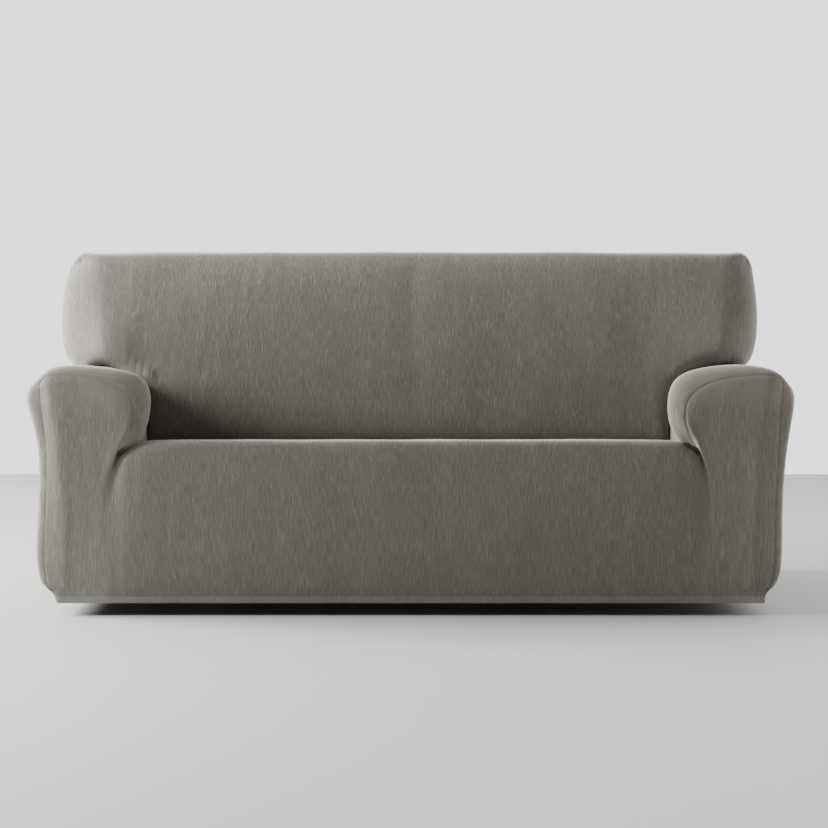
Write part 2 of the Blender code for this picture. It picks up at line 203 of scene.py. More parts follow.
# Creases and ridges of the stretched cloth, each along points (x, depth, height) on it. rise: how far the
# cloth stands out at the first and the last point, or sinks in where it is negative. width: half width of
# the fold. Beyond FOLD_REACH of those widths a fold does nothing.
Fold = namedtuple("Fold", "first_rise last_rise width points")
FOLDS = (
    # Left notch: the crease that runs down from the seat, and the soft pull below it
    Fold(-0.003, -0.007, 0.008, ((-0.722, 0.06, 0.452), (-0.748, 0.03, 0.440), (-0.766, 0.03, 0.424))),
    Fold(-0.007, 0.0, 0.008, ((-0.766, 0.03, 0.424), (-0.777, 0.02, 0.400), (-0.781, 0.01, 0.368))),
    Fold(-0.002, 0.0, 0.014, ((-0.780, 0.01, 0.370), (-0.775, 0.01, 0.310), (-0.768, 0.00, 0.245))),
    Fold(0.0020, 0.0, 0.016, ((-0.744, 0.01, 0.400), (-0.750, 0.01, 0.340), (-0.742, 0.00, 0.270))),
    # Right notch
    Fold(-0.003, -0.007, 0.007, ((0.706, 0.06, 0.455), (0.728, 0.03, 0.446), (0.747, 0.03, 0.428))),
    Fold(-0.007, 0.0, 0.007, ((0.747, 0.03, 0.428), (0.760, 0.02, 0.402), (0.767, 0.01, 0.374))),
    Fold(-0.0015, 0.0, 0.013, ((0.767, 0.01, 0.372), (0.764, 0.01, 0.320), (0.758, 0.00, 0.265))),
    Fold(0.0018, 0.0, 0.014, ((0.730, 0.01, 0.400), (0.736, 0.01, 0.345), (0.732, 0.00, 0.285))),
    # Under the left wing, and where the back is drawn in above the arm: a slanting ridge and its puckers
    Fold(-0.003, 0.0, 0.022, ((-0.950, 0.68, 0.646), (-0.900, 0.66, 0.642), (-0.820, 0.66, 0.634))),
    Fold(0.0005, 0.004, 0.016, ((-0.860, 0.62, 0.665), (-0.805, 0.62, 0.640), (-0.757, 0.63, 0.606))),
    Fold(-0.0007, 0.0, 0.0040, ((-0.823, 0.61, 0.628), (-0.808, 0.61, 0.672))),
    Fold(-0.0008, 0.0, 0.0035, ((-0.800, 0.61, 0.618), (-0.786, 0.61, 0.658))),
    Fold(-0.0011, 0.0, 0.0035, ((-0.780, 0.61, 0.606), (-0.772, 0.61, 0.655))),
    Fold(-0.0010, 0.0, 0.0035, ((-0.762, 0.61, 0.592), (-0.748, 0.61, 0.634))),
    Fold(-0.0007, 0.0, 0.0045, ((-0.738, 0.61, 0.575), (-0.722, 0.61, 0.625))),
    # The same on the right, fainter
    Fold(-0.004, 0.0, 0.024, ((0.930, 0.67, 0.646), (0.880, 0.66, 0.642), (0.800, 0.66, 0.634))),
    Fold(0.0005, 0.002, 0.016, ((0.850, 0.62, 0.660), (0.800, 0.62, 0.640), (0.760, 0.63, 0.610))),
    Fold(-0.0007, 0.0, 0.0045, ((0.786, 0.61, 0.612), (0.782, 0.61, 0.650))),
    Fold(-0.0007, 0.0, 0.0045, ((0.758, 0.61, 0.594), (0.752, 0.61, 0.634))),
    # Pinches at the top corners of the back
    Fold(-0.003, -0.001, 0.008, ((-0.980, 0.71, 0.935), (-0.937, 0.70, 0.926), (-0.900, 0.70, 0.905))),
    Fold(-0.002, 0.0, 0.007, ((0.985, 0.72, 0.935), (0.968, 0.70, 0.905))),
    # The cloth tucks in under the sofa's body at its front corners
    Fold(-0.003, 0.0, 0.007, ((-0.935, 0.01, 0.066), (-0.880, 0.00, 0.062), (-0.790, 0.00, 0.058))),
    Fold(-0.004, 0.0, 0.006, ((0.925, 0.01, 0.068), (0.890, 0.00, 0.066), (0.840, 0.00, 0.060))),
    Fold(-0.003, 0.0, 0.006, ((0.934, 0.01, 0.070), (0.940, 0.01, 0.130))),
    # Wrinkles of the cloth's spare length on the arms' fronts, just under their seams
    Fold(0.0012, 0.0004, 0.006, ((-0.968, 0.01, 0.596), (-0.900, 0.01, 0.612), (-0.830, 0.01, 0.606))),
    Fold(0.0010, 0.0003, 0.006, ((0.966, 0.01, 0.598), (0.905, 0.01, 0.614), (0.850, 0.01, 0.610))),
    # The gap between the two seats' back cushions, faint under the cloth
    Fold(-0.002, -0.001, 0.030, ((0.005, 0.67, 0.900), (0.000, 0.63, 0.700), (0.010, 0.62, 0.520))),
)
FOLD_REACH = 3.0

# Seams, by the two panels that they join: depth and half width of their groove, which is uneven. Points
# along a seam are SEAM_SAMPLE apart.
Seam = namedtuple("Seam", "panels groove width")
SEAMS = (
    Seam({SEAT_AND_FRONT, LEFT_ARM}, 0.0006, 0.0030),
    Seam({SEAT_AND_FRONT, RIGHT_ARM}, 0.0010, 0.0030),
    Seam({SEAT_AND_FRONT, INSIDE_BACK}, 0.0010, 0.0040),
    Seam({LEFT_ARM, INSIDE_BACK}, 0.0010, 0.0040),
    Seam({RIGHT_ARM, INSIDE_BACK}, 0.0010, 0.0040),
    Seam({LEFT_ARM, OUTSIDE_BACK}, 0.0018, 0.0040),
    Seam({RIGHT_ARM, OUTSIDE_BACK}, 0.0018, 0.0040),
    Seam({INSIDE_BACK, OUTSIDE_BACK}, 0.0018, 0.0040),
)
SEAM_SAMPLE = 0.002
GROOVE_UNEVENNESS = 0.4

# Puckers beside the seams: distance from the seam at which they are full, and their reach and spacing.
PUCKER_START = 0.004
PUCKER_REACH = 0.014
PUCKER_SPACING = 0.016

# A sharp corner between two seams draws back no further than this allows.
LEAST_SEAM_SPREAD = 0.5

# The broad unevenness of the cloth and its narrow lengthwise ripples: spacing across and along them, and
# the distance from a seam at which both are full.
WAVE_SPACING = (0.13, 0.30, 1.0)
RIPPLE_SPACING = (0.024, 0.14, 1.0)
WAVE_START = 0.030

# Edges of the cloth that turn more than this, in degrees, stay sharp.
SHARP_ANGLE = 50.0

# Each panel's cut size before it is stretched: width across the crinkles, length along them, and area.
Cut = namedtuple("Cut", "width length area")

# Where the cloth is stretched smooth over the arms' rolls: height, half width and depth at which that
# starts and is complete. There it keeps a share of its crinkles, and a painted highlight makes it paler.
ROLL_SMOOTH_H = (0.50, 0.60)
ROLL_SMOOTH_X = (0.62, 0.72)
ROLL_SMOOTH_DEPTH = (0.66, 0.60)
ROLL_CRINKLE = 0.45
ROLL_PAINTED_HIGHLIGHT = 0.45

# Where the cloth is slack, on the arms' fronts: depth and half width of that. There a painted highlight
# makes it a little paler.
SLACK_DEPTH = (0.045, 0.020)
SLACK_X = (0.72, 0.80)
SLACK_PAINTED_HIGHLIGHT = 0.22

# The turned-up hem: its height, the blur of its edge, how far it stands out, the share of its crinkles that
# it loses, and how much paler the painted highlight along it makes it.
HEM_BAND = 0.018
HEM_BLUR = 0.001
HEM_STEP = 0.0006
HEM_CRINKLE = 0.5
HEM_PAINTED_HIGHLIGHT = 0.45

# Grains of the knit: width and length beside a crinkle's, detail and waviness. Each varies about a middle.
Grain = namedtuple("Grain", "width length detail waviness")
FINE_CRINKLES = Grain(1.0, 1.0, 2.0, 0.5)
SLACK_CRINKLES = Grain(1.4, 1.4, 3.0, 0.5)
LONG_CRINKLES = Grain(4.5, 3.5, 1.0, 0.3)
LONG_CRINKLE_AREAS = Grain(11.25, 2.8, 1.0, 0.0)
MOTTLE_PATCHES = Grain(14.0, 5.0, 2.0, 0.0)
GRAIN_MIDDLE = 0.5

# The long crinkles: how far each spreads beside its crest, the levels of grain between which they appear,
# and how high and how much lighter they are beside the others.
LONG_SPREAD = 0.035
LONG_APPEAR = (0.45, 0.65)
LONG_HEIGHT = 0.65
LONG_TONE = 0.22

# How strongly the patches mottle the cloth, its middle tone, and the tones of its three yarn colours.
PATCH_TONE = 0.15
MIDDLE_TONE = 0.46
YARN_TONES = (0.30, 0.50, 0.70)

# The room's light, by the Y or Z part of a direction: bounds between which it turns from the room in front
# to the wall behind, falls to the ceiling's share and rises from the ground's.
WALL_TURN = (-0.40, 0.12)
CEILING_TURN = (0.30, 0.90)
CEILING_SHARE = 0.80
GROUND_TURN = (-0.40, -0.15)
GROUND_SHARE = 0.15

# Soft lights: size, the setting that holds their power, and their place and target as x, depth and height.
Lamp = namedtuple("Lamp", "name size power location target")
LAMPS = (
    Lamp("window", (3.0, 2.0), "window_power", (-4.6, 0.5, 2.15), (0.0, 0.4, 0.5)),
    Lamp("side_wall", (3.0, 2.0), "side_power", (4.5, 1.2, 1.0), (0.9, 0.4, 0.4)),
    Lamp("skylight", (3.0, 1.6), "skylight_power", (0.2, -1.6, 3.2), (0.0, 0.4, 0.5)),
)

# The camera's sensor and lens in millimetres, and the shift of its view to the side and up.
SENSOR_WIDTH = 36.0
LENS = 91.96
VIEW_SHIFT = (0.003, -0.164)

# Names of the cloth's map, of the shares that its vertices carry and of the surface it is cut from
UV_NAME = "cloth"
CRINKLE_NAME = "crinkle"
HEM_NAME = "hem"
SLACK_NAME = "slack"
SURFACE_NAME = "cover_surface"

# How far apart the panels lie on the map, and the triangles above which a panel is thinned.
PANEL_PATTERN_STEP = 3.1
MOST_TRIANGLES = 190_000


class SlipcoverCloth(bpy.types.PropertyGroup):
    """Sizes and colours of the cloth."""

    thickness: bpy.props.FloatProperty(
        name="Thickness", description="Thickness of the knit",
        default=0.0016, min=0.0005, max=0.003, unit="LENGTH",
    )
    seam_gap: bpy.props.FloatProperty(
        name="Seam gap", description="Gap left between two panels",
        default=0.0003, min=0.0, max=0.001, unit="LENGTH",
    )
    fineness: bpy.props.IntProperty(
        name="Fineness", description="Times that the cage is subdivided", default=4, min=1, max=4
    )
    fold_strength: bpy.props.FloatProperty(
        name="Folds", description="Strength of creases and ridges", default=1.0, min=0.0, max=2.0
    )
    wave_height: bpy.props.FloatProperty(
        name="Waves", description="Height of the broad unevenness",
        default=0.0016, min=0.0, max=0.01, unit="LENGTH",
    )
    ripple_height: bpy.props.FloatProperty(
        name="Ripples", description="Height of the narrow lengthwise ripples",
        default=0.0005, min=0.0, unit="LENGTH",
    )
    pucker_height: bpy.props.FloatProperty(
        name="Puckers", description="Height of the puckers at the seams",
        default=0.0008, min=0.0, unit="LENGTH",
    )
    streak_width: bpy.props.FloatProperty(
        name="Streak width", description="Width of a crinkle", default=0.0026, min=0.001, unit="LENGTH"
    )
    streak_length: bpy.props.FloatProperty(
        name="Streak length", description="Length of a crinkle", default=0.027, min=0.005, unit="LENGTH"
    )
    crinkle_height: bpy.props.FloatProperty(
        name="Crinkle height", description="Height of the crinkles", default=0.00055, min=0.0, unit="LENGTH"
    )
    shade_yarn: bpy.props.FloatVectorProperty(
        name="Shade yarn", description="Colour between the crinkles",
        subtype="COLOR", default=(0.140, 0.130, 0.111),
    )
    ground_yarn: bpy.props.FloatVectorProperty(
        name="Ground yarn", description="Main colour of the knit",
        subtype="COLOR", default=(0.168, 0.156, 0.133),
    )
    crest_yarn: bpy.props.FloatVectorProperty(
        name="Crest yarn", description="Colour on the crinkles",
        subtype="COLOR", default=(0.205, 0.191, 0.165),
    )


class SlipcoverStage(bpy.types.PropertyGroup):
    """Floor, light and camera."""

    floor_size: bpy.props.FloatProperty(
        name="Floor size", description="Side of the square floor", default=6.4, min=5.0, unit="LENGTH"
    )
    floor_color: bpy.props.FloatVectorProperty(
        name="Floor", description="Colour of the floor", subtype="COLOR", default=(0.42, 0.42, 0.41)
    )
    wall_light: bpy.props.FloatProperty(
        name="Wall light", description="Brightness of the room behind the cover", default=2.05, min=0.0
    )
    room_light: bpy.props.FloatProperty(
        name="Room light", description="Brightness of the room in front of the cover", default=0.10, min=0.0
    )
    window_power: bpy.props.FloatProperty(
        name="Window", description="Power of the soft light from the left",
        default=1120.0, min=0.0, unit="POWER",
    )
    skylight_power: bpy.props.FloatProperty(
        name="Skylight", description="Power of the soft light from above",
        default=14.0, min=0.0, unit="POWER",
    )
    side_power: bpy.props.FloatProperty(
        name="Side wall", description="Power of the faint light from the right",
        default=160.0, min=0.0, unit="POWER",
    )
    camera_distance: bpy.props.FloatProperty(
        name="Camera distance", description="From the camera to the cover's front",
        default=5.5, min=1.0, unit="LENGTH",
    )
    camera_height: bpy.props.FloatProperty(
        name="Camera height", description="Height of the camera over the floor",
        default=0.88, min=0.0, unit="LENGTH",
    )


def blend(start, end, share):
    """The value that lies the given share of the way from start to end."""
    return start + (end - start) * share


def place(x, depth, height):
    """A point in the cover's frame from its half-width position, depth and height above the floor."""
    return Vector((x, depth - TOP_DEPTH, height - FLOOR_BELOW_TOP))


def side_width(row, side):
    """Half the cover's width at a row, on the given side."""
    return row.left_x if side < 0 else row.right_x


def front_points(column, index, side):
    """Points up the front, from the hem to the front edge."""
    points = []
    for level, (row, notch) in enumerate(zip(FRONT_ROWS, NOTCH_DEPTHS)):
        x = blend(column.hem_x, column.seam_x, row.share**column.bend)
        depth = row.depth
        if index <= ARM_STEPS:
            depth = max(depth, ARM_FRONT_DEPTH)
        if index == 0:
            depth = max(depth, ARM_FRONT_EDGE_DEPTH)
            if level < len(SIDE_ROWS):
                x = side_width(SIDE_ROWS[level], side) - SIDE_ROWS[level].front_in
        if index == ARM_STEPS:
            depth += notch
        points.append(place(x, depth, blend(HEM_HEIGHT, column.seam_h, row.share)))
    return points


def tuck_share(index):
    """A column's share in the tucks under the wings."""
    return TUCK_SHARES[index] if index < len(TUCK_SHARES) else 0.0


def seat_points(column, index):
    """Points over the arm or seat, from behind the front edge to the foot of the back."""
    points = []
    for row in SEAT_ROWS:
        if index == ARM_STEPS:
            sunk = min(1.0, SEAT_CREASE_HASTE * row.along)
            height = blend(column.roll_h, row.seat_h - SEAT_CREASE_DROP, sunk)
        elif index < ARM_STEPS:
            height = blend(column.roll_h, column.foot_h, row.along)
        else:
            height = row.seat_h - column.sag
        tuck = FOOT_TUCK * tuck_share(index) if row is SEAT_ROWS[-1] else 0.0
        points.append(place(blend(column.roll_x, column.foot_x, row.along), row.depth + tuck, height))
    return points


def back_depth(height):
    """How deep the front of the back lies at a height."""
    low, high = next(pair for pair in zip(BACK_LINES, BACK_LINES[1:]) if height <= pair[1].height)
    return blend(low.depth, high.depth, (height - low.height) / (high.height - low.height))


def back_points(column, index, side, edge_x):
    """Points up the front of the back and over its top to the rear seam."""
    foot_h = column.foot_h if index <= ARM_STEPS else SEAT_ROWS[-1].seat_h
    middle = 1.0 - (column.top_x / edge_x) ** 2
    edge_drop = WING_EDGE_DROP if index == 0 else 0.0
    setbacks = LEFT_SETBACKS if side < 0 else RIGHT_SETBACKS
    setback = setbacks[index] if index < len(setbacks) else 0.0
    points = []
    for row in BACK_ROWS:
        x = side_width(row, side) if index == 0 else blend(column.foot_x, column.top_x, row.share)
        height = blend(foot_h, BACK_EDGE_H - edge_drop, row.share)
        depth = back_depth(height) + row.tuck * tuck_share(index)
        depth += setback * (1.0 - WING_TOP_EASE * row.share)
        points.append(place(x, depth - BACK_CROWN * middle * (1.0 - row.share), height))
    for row in TOP_ROWS:
        drop = row.drop if index == 0 else TOP_EDGE_DROP * (1.0 - middle)
        points.append(place(column.top_x, row.depth, row.height - drop))
    return points


def rear_points(column, side, edge_x):
    """Points down the rear, from below its seam to the hem."""
    outline = [(row.height, side_width(row, side) - row.rear_in) for row in SIDE_ROWS]
    outline.append((WAIST_H, WAIST_X))
    outline += [(blend(WAIST_H, BACK_EDGE_H, row.share), side_width(row, side)) for row in BACK_ROWS[:-1]]
    depth = TOP_ROWS[-1].depth + REAR_BULGE
    return [place(x * column.top_x / edge_x, depth, height) for height, x in reversed(outline)]


def path_points(column, index, side):
    """One column of the cage as a path: up the front, over the seat, over the back and down the rear."""
    edge_x = (LEFT_COLUMNS if side < 0 else RIGHT_COLUMNS)[0].top_x
    path = front_points(column, index, side)
    path += seat_points(column, index)
    path += back_points(column, index, side, edge_x)
    path += rear_points(column, side, edge_x)
    return [Vector((point.x * side, point.y, point.z)) for point in path]


# Steps along the path to the front edge, the back's foot, its top edge, the rear seam, the waist, the hem
FRONT_END = len(FRONT_ROWS) - 1
FOOT = FRONT_END + len(SEAT_ROWS)
TOP_EDGE = FOOT + len(BACK_ROWS)
REAR_SEAM = TOP_EDGE + len(TOP_ROWS)
REAR_WAIST = REAR_SEAM + len(BACK_ROWS)
PATH_END = REAR_WAIST + len(SIDE_ROWS)


def cage_columns():
    """Every column of the cage from -X to +X, as a list of paths."""
    left = [path_points(column, index, -1) for index, column in enumerate(LEFT_COLUMNS + SEAT_COLUMNS)]
    right_columns = RIGHT_COLUMNS + SEAT_COLUMNS[:-1]
    right = [path_points(column, index, 1) for index, column in enumerate(right_columns)]
    return left + right[::-1]


def side_grid(mesh, edge, side):
    """Vertices of one outer side, by level from the hem up and by step from front to rear."""
    depths = [row.depth for row in SEAT_ROWS + TOP_ROWS[:-1]]
    foot, last = len(SEAT_ROWS), len(depths) + 1
    grid = {}
    for level in range(FRONT_END + 1):
        grid[level, 0] = edge[level]
        grid[level, last] = edge[PATH_END - level]
    for step in range(1, foot + 1):
        grid[FRONT_END, step] = edge[FRONT_END + step]
    for step in range(foot + 1, last):
        grid[FRONT_END, step] = mesh.verts.new(place(WAIST_X * side, depths[step - 1], WAIST_H))
    for level, row in enumerate(SIDE_ROWS):
        for step, depth in enumerate(depths, start=1):
            grid[level, step] = mesh.verts.new(place(side_width(row, side) * side, depth, row.height))
    for rise in range(1, len(BACK_ROWS) + 1):
        grid[FRONT_END + rise, foot] = edge[FOOT + rise]
        grid[FRONT_END + rise, last] = edge[REAR_WAIST - rise]
    for rise, row in enumerate(BACK_ROWS[:-1], start=1):
        level = FRONT_END + rise
        for step in range(foot + 1, last):
            point = grid[level, foot].co.lerp(grid[level, last].co, (step - foot) / (last - foot))
            point.x = side * (side_width(row, side) + SIDE_BULGE)
            grid[level, step] = mesh.verts.new(point)
    for step in range(foot + 1, last):
        grid[FRONT_END + len(BACK_ROWS), step] = edge[TOP_EDGE + step - foot]
    return grid


def add_face(mesh, corners, panel, cloth_points):
    """One quad of the cage, marked with its panel and with where its corners lie on the cut cloth."""
    face = mesh.faces.new(corners)
    face.material_index = panel
    face.smooth = True
    layer = mesh.loops.layers.uv[UV_NAME]
    for loop, (across, along) in zip(face.loops, cloth_points):
        loop[layer].uv = (across + PANEL_PATTERN_STEP * panel, along)


def panel_of(step, column, column_count):
    """The panel that a quad of the main grid belongs to."""
    if step < FRONT_END:
        return SEAT_AND_FRONT
    if step < FOOT:
        if column < ARM_STEPS:
            return LEFT_ARM
        if column >= column_count - 1 - ARM_STEPS:
            return RIGHT_ARM
        return SEAT_AND_FRONT
    return INSIDE_BACK if step < REAR_SEAM else OUTSIDE_BACK


def arm_girths(paths, columns):
    """Length of cloth round an arm from the seat's crease to each column, by column and step."""
    girths = {(columns[0], step): 0.0 for step in range(FRONT_END, FOOT + 1)}
    for near, far in zip(columns, columns[1:]):
        for step in range(FRONT_END, FOOT + 1):
            girths[far, step] = girths[near, step] + (paths[far][step].co - paths[near][step].co).length
    return girths


def grid_cloth_point(panel, column, step, point, girths):
    """Where a vertex of the main grid lies on its panel's cut cloth: across and along the crinkles."""
    depth = point.y + TOP_DEPTH
    if panel in (LEFT_ARM, RIGHT_ARM):
        return depth, girths[column, step]
    if panel == OUTSIDE_BACK:
        return point.x, point.z
    return point.x, point.z + depth


def side_cloth_point(grid, level, step, side, wing, edge_girths):
    """Where a vertex of an outer side lies on the cut cloth of its wing or of its arm."""
    foot = len(SEAT_ROWS)
    point = grid[level, step].co
    if wing:
        edge = grid[level, foot].co
        return edge.x + side * (point.y - edge.y), point.z + edge.y + TOP_DEPTH
    top = grid[FRONT_END, min(step, foot)].co
    return point.y + TOP_DEPTH, edge_girths[min(step, foot)] + top.z - point.z


def add_side(mesh, edge, side, arm, edge_girths):
    """Close one outer side of the cage; returns the line on which the wing meets the arm."""
    grid = side_grid(mesh, edge, side)
    for level, step in grid:
        keys = [(level + up, step + back) for up, back in ((0, 0), (0, 1), (1, 1), (1, 0))]
        if any(key not in grid for key in keys):
            continue
        if side < 0:
            keys.reverse()
        wing = level >= FRONT_END
        places = [side_cloth_point(grid, *key, side, wing, edge_girths) for key in keys]
        add_face(mesh, [grid[key] for key in keys], INSIDE_BACK if wing else arm, places)
    return [grid[key] for key in sorted(grid) if key[0] == FRONT_END and key[1] >= len(SEAT_ROWS)]


def build_cage():
    """The cover's coarse cage: the main grid from hem to hem, closed by the two outer sides."""
    mesh = bmesh.new()
    crease = mesh.edges.layers.float.new("crease_edge")
    mesh.loops.layers.uv.new(UV_NAME)
    paths = [[mesh.verts.new(point) for point in path] for path in cage_columns()]
    last = len(paths) - 1
    left_girths = arm_girths(paths, range(ARM_STEPS, -1, -1))
    right_girths = arm_girths(paths, range(last - ARM_STEPS, last + 1))
    girths = left_girths | right_girths
    for column in range(last):
        for step in range(PATH_END):
            panel = panel_of(step, column, len(paths))
            keys = ((column, step), (column + 1, step), (column + 1, step + 1), (column, step + 1))
            corners = [paths[across][along] for across, along in keys]
            places = [
                grid_cloth_point(panel, across, along, vertex.co, girths)
                for (across, along), vertex in zip(keys, corners)
            ]
            add_face(mesh, corners, panel, places)
    left_edge = [left_girths[0, step] for step in range(FRONT_END, FOOT + 1)]
    right_edge = [right_girths[last, step] for step in range(FRONT_END, FOOT + 1)]
    tucked = [
        [path[FOOT] for path in paths],
        paths[ARM_STEPS][FRONT_END : FOOT + 1],
        paths[-1 - ARM_STEPS][FRONT_END : FOOT + 1],
        add_side(mesh, paths[0], -1, LEFT_ARM, left_edge),
        add_side(mesh, paths[-1], 1, RIGHT_ARM, right_edge),
    ]
    for line in tucked:
        for start, end in zip(line, line[1:]):
            mesh.edges.get((start, end))[crease] = CREASE_TUCKED
    return mesh


def evaluated_mesh(object_):
    """A new mesh of an object as its modifiers leave it."""
    depsgraph = bpy.context.evaluated_depsgraph_get()
    return bpy.data.meshes.new_from_object(object_.evaluated_get(depsgraph))


def smooth_surface(cage, fineness):
    """The cage subdivided, pushed out until the smooth cloth passes through the cage's first points."""
    data = bpy.data.meshes.new("cover_cage")
    cage.to_mesh(data)
    cage.free()
    guide = bpy.data.objects.new("cover_cage", data)
    bpy.context.scene.collection.objects.link(guide)
    subdivision = guide.modifiers.new("Smoothing", "SUBSURF")
    subdivision.levels = 1
    subdivision.render_levels = 1
    wanted = [vertex.co.copy() for vertex in data.vertices]
    for _ in range(FITTING_PASSES):
        smooth = evaluated_mesh(guide)
        for vertex, target, reached in zip(data.vertices, wanted, smooth.vertices):
            vertex.co += target - reached.co
        bpy.data.meshes.remove(smooth)
        data.update()
    subdivision.levels = fineness
    subdivision.render_levels = fineness
    surface = evaluated_mesh(guide)
    surface.name = SURFACE_NAME
    bpy.data.objects.remove(guide)
    return surface


def mesh_array(items, name, width, kind=np.float32):
    """A property of a mesh's items as an array with one row an item."""
    values = np.empty(len(items) * width, kind)
    items.foreach_get(name, values)
    return values.reshape(-1, width) if width > 1 else values


SurfaceArrays = namedtuple("SurfaceArrays", "positions normals quads panels places")


def surface_arrays(surface):
    """A surface of quads as arrays, with the panel of each quad and its corners' places on the cloth."""
    return SurfaceArrays(
        mesh_array(surface.vertices, "co", 3).astype(float),
        mesh_array(surface.vertices, "normal", 3).astype(float),
        mesh_array(surface.loops, "vertex_index", 1, np.int32).reshape(-1, 4),
        mesh_array(surface.polygons, "material_index", 1, np.int32),
        mesh_array(surface.uv_layers[UV_NAME].uv, "vector", 2).reshape(-1, 4, 2),
    )


def smooth_step(low, high, values):
    """Zero at low, one at high and smooth between them."""
    share = np.clip((values - low) / (high - low), 0.0, 1.0)
    return share * share * (3.0 - 2.0 * share)


def cloth_noise(points, spacing):
    """Smooth noise from -1 to 1 at each point, with a spacing for each axis."""
    scaled = points / np.array(spacing)
    return np.array([noise.noise(point) for point in scaled.tolist()])


def laid_on(points, positions, normals):
    """The given points moved onto the cloth along its normals."""
    laid = []
    for point in points:
        nearest = np.argmin(((positions - point) ** 2).sum(axis=1))
        normal = normals[nearest]
        laid.append(point - normal * np.dot(point - positions[nearest], normal))
    return np.array(laid)


def fold_rise(fold, positions, normals):
    """How far one fold lifts each vertex."""
    rise = np.zeros(len(positions))
    line = laid_on([np.array(place(*point)) for point in fold.points], positions, normals)
    reach = FOLD_REACH * fold.width
    near = ((positions > line.min(axis=0) - reach) & (positions < line.max(axis=0) + reach)).all(axis=1)
    around = positions[near]
    nearest = np.full(len(around), np.inf)
    along = np.zeros(len(around))
    for number, (start, end) in enumerate(zip(line, line[1:])):
        step = end - start
        share = np.clip((around - start) @ step / np.dot(step, step), 0.0, 1.0)
        distance = np.linalg.norm(around - start - share[:, None] * step, axis=1)
        closer = distance < nearest
        nearest[closer] = distance[closer]
        along[closer] = (number + share[closer]) / (len(line) - 1)
    rise[near] = blend(fold.first_rise, fold.last_rise, along) * np.exp(-((nearest / fold.width) ** 2))
    return rise


def seam_lines(positions, quads, panels):
    """Points along every seam and the index in SEAMS of the seam that each lies on."""
    edges = {}
    for quad, panel in zip(quads.tolist(), panels.tolist()):
        for start, end in zip(quad, quad[1:] + quad[:1]):
            edges.setdefault((min(start, end), max(start, end)), set()).add(panel)
    numbers = {frozenset(seam.panels): number for number, seam in enumerate(SEAMS)}
    points, seams = [], []
    for (start, end), joined in edges.items():
        number = numbers.get(frozenset(joined))
        if number is None:
            continue
        length = np.linalg.norm(positions[end] - positions[start])
        count = max(1, math.ceil(length / SEAM_SAMPLE))
        for part in range(count):
            points.append(blend(positions[start], positions[end], part / count))
            seams.append(number)
    return points, seams


def seam_shape(positions, quads, panels, pucker_height):
    """How far the seams sink and pucker each vertex, and each vertex's distance from a seam."""
    points, seams = seam_lines(positions, quads, panels)
    tree = KDTree(len(points))
    for index, point in enumerate(points):
        tree.insert(point, index)
    tree.balance()
    distances = np.empty(len(positions))
    owners = np.empty(len(positions), int)
    for index, position in enumerate(positions.tolist()):
        _, owners[index], distances[index] = tree.find(position)
    seams = np.array(seams)[owners]
    grooves = np.array([seam.groove for seam in SEAMS])[seams]
    widths = np.array([seam.width for seam in SEAMS])[seams]
    pucker = cloth_noise(np.array(points), (PUCKER_SPACING,) * 3)[owners]
    sunk = grooves * (1.0 + GROOVE_UNEVENNESS * pucker) * np.exp(-((distances / widths) ** 2))
    gathers = pucker_height * pucker * np.exp(-distances / PUCKER_REACH)
    gathers *= smooth_step(0.0, PUCKER_START, distances)
    return gathers - sunk, distances


def hem_and_highlight_share(positions):
    """How far each vertex belongs to the hem: 1 on it and 0 above it. The material paints a highlight along
    it.
    """
    height = positions[:, 2] + FLOOR_BELOW_TOP - HEM_HEIGHT
    return 1.0 - smooth_step(HEM_BAND - HEM_BLUR, HEM_BAND + HEM_BLUR, height)


def crinkle_and_highlight_share(positions):
    """The share of its crinkles that the cloth keeps at each vertex: less over the arms' rolls, where the
    material also paints a highlight.
    """
    height = positions[:, 2] + FLOOR_BELOW_TOP
    depth = positions[:, 1] + TOP_DEPTH
    roll = smooth_step(*ROLL_SMOOTH_H, height) * smooth_step(*ROLL_SMOOTH_X, np.abs(positions[:, 0]))
    roll *= smooth_step(*ROLL_SMOOTH_DEPTH, depth)
    return 1.0 - (1.0 - ROLL_CRINKLE) * roll


def slack_and_highlight_share(positions):
    """How slack the cloth lies at each vertex: fully so on the arms' fronts, where the material also paints
    a highlight.
    """
    depth = positions[:, 1] + TOP_DEPTH
    return smooth_step(*SLACK_X, np.abs(positions[:, 0])) * smooth_step(*SLACK_DEPTH, depth)


def shape_cloth(surface, cloth):
    """Give the smooth surface its folds, seams and unevenness."""
    positions, normals, quads, panels, places = surface_arrays(surface)
    cloth_points = np.zeros((len(positions), 3))
    cloth_points[quads, :2] = places
    rise, distances = seam_shape(positions, quads, panels, cloth.pucker_height)
    waves = cloth.wave_height * cloth_noise(cloth_points, WAVE_SPACING)
    ripples = cloth.ripple_height * cloth_noise(cloth_points, RIPPLE_SPACING) * crinkle_and_highlight_share(positions)
    rise += (waves + ripples) * smooth_step(0.0, WAVE_START, distances)
    rise += HEM_STEP * hem_and_highlight_share(positions)
    for fold in FOLDS:
        rise += cloth.fold_strength * fold_rise(fold, positions, normals)
    shaped = positions + normals * rise[:, None]
    surface.vertices.foreach_set("co", shaped.astype(np.float32).ravel())
    surface.update()


